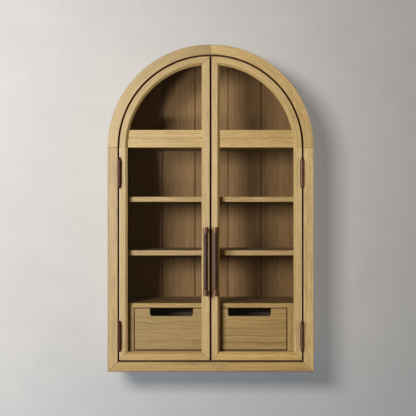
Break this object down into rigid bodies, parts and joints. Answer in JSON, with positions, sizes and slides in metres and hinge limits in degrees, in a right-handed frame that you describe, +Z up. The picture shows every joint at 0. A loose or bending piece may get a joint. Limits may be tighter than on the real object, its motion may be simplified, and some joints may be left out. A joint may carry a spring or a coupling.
{
  "type": "wall cabinet",
  "caption": "Arched wall cabinet in light oak with glazed doors, shelves above and drawers below, hung on its back rails.",
  "frame": {"origin": "midpoint of the two hanging screw holes, on the wall plane at the back of the hanging rail", "axes": "+Z up, +Y into the wall, +X to the right seen from the front"},
  "size_m": [0.764, 0.3489, 1.213],
  "materials": {
    "oak": "light natural oak, matt oil",
    "oak_back": "natural oak boards, matt oil",
    "glass": "clear polished",
    "dark_bronze": "dark oil-rubbed bronze",
    "copper_bronze": "aged copper bronze, satin",
    "leather": "dark brown lace, wound",
    "steel": "zinc plated",
    "catch_plastic": "brown moulded"
  },
  "bodies": {
    "cabinet": {"arch_shelf": "oak", "back_boards": "oak_back", "cabinet_screws": "steel", "carcass_arch": "oak", "carcass_bottom": "oak", "carcass_left_side": "oak", "carcass_right_side": "oak", "door_stop_bar": "oak", "drawer_bay_floor": "oak", "drawer_bay_sides": "oak", "drawer_bay_sill": "oak", "drawer_bay_top": "oak", "drawer_divider": "oak", "drawer_fillers": "oak", "face_frame_bottom_rail": "oak", "face_frame_left_arch": "oak", "face_frame_left_stile": "oak", "face_frame_right_arch": "oak", "face_frame_right_stile": "oak", "hanging_rail": "oak", "hinge_frame_leaves": "dark_bronze", "hinge_pins": "dark_bronze", "loose_shelves": "oak", "lower_wall_rail": "oak", "magnetic_catches": "catch_plastic", "shelf_pins": "steel"},
    "left_door": {"left_door_arch_rail": "oak", "left_door_bottom_rail": "oak", "left_door_cross_rails": "oak", "left_door_glazing_beads": "oak", "left_door_handle_bar": "copper_bronze", "left_door_handle_grip": "leather", "left_door_handle_posts": "copper_bronze", "left_door_hinge_leaves": "dark_bronze", "left_door_hinge_stile": "oak", "left_door_lower_glass": "glass", "left_door_meeting_stile": "oak", "left_door_screws": "steel", "left_door_strike_plate": "steel", "left_door_upper_glass": "glass"},
    "right_door": {"right_door_arch_rail": "oak", "right_door_bottom_rail": "oak", "right_door_cross_rails": "oak", "right_door_glazing_beads": "oak", "right_door_handle_bar": "copper_bronze", "right_door_handle_grip": "leather", "right_door_handle_posts": "copper_bronze", "right_door_hinge_leaves": "dark_bronze", "right_door_hinge_stile": "oak", "right_door_lower_glass": "glass", "right_door_meeting_stile": "oak", "right_door_screws": "steel", "right_door_strike_plate": "steel", "right_door_upper_glass": "glass"},
    "left_drawer": {"left_drawer_bottom": "oak", "left_drawer_box": "oak", "left_drawer_front": "oak"},
    "right_drawer": {"right_drawer_bottom": "oak", "right_drawer_box": "oak", "right_drawer_front": "oak"}
  },
  "joints": [
    {"name": "left_door_swing", "type": "hinge", "parent": "cabinet", "child": "left_door", "pos_m": [-0.3374, -0.3117, -0.45], "axis": [0, 0, -1], "range_deg": [0, 170]},
    {"name": "right_door_swing", "type": "hinge", "parent": "cabinet", "child": "right_door", "pos_m": [0.3374, -0.3117, -0.45], "axis": [0, 0, 1], "range_deg": [0, 170]},
    {"name": "left_drawer_slide", "type": "slide", "parent": "cabinet", "child": "left_drawer", "axis": [0, -1, 0], "range_m": [0, 0.17]},
    {"name": "right_drawer_slide", "type": "slide", "parent": "cabinet", "child": "right_drawer", "axis": [0, -1, 0], "range_m": [0, 0.17]}
  ],
  "couplings": [
    {"joint": "left_drawer_slide", "follows": "left_door_swing", "m_per_rad": 0.0572},
    {"joint": "right_drawer_slide", "follows": "right_door_swing", "m_per_rad": 0.0572}
  ]
}
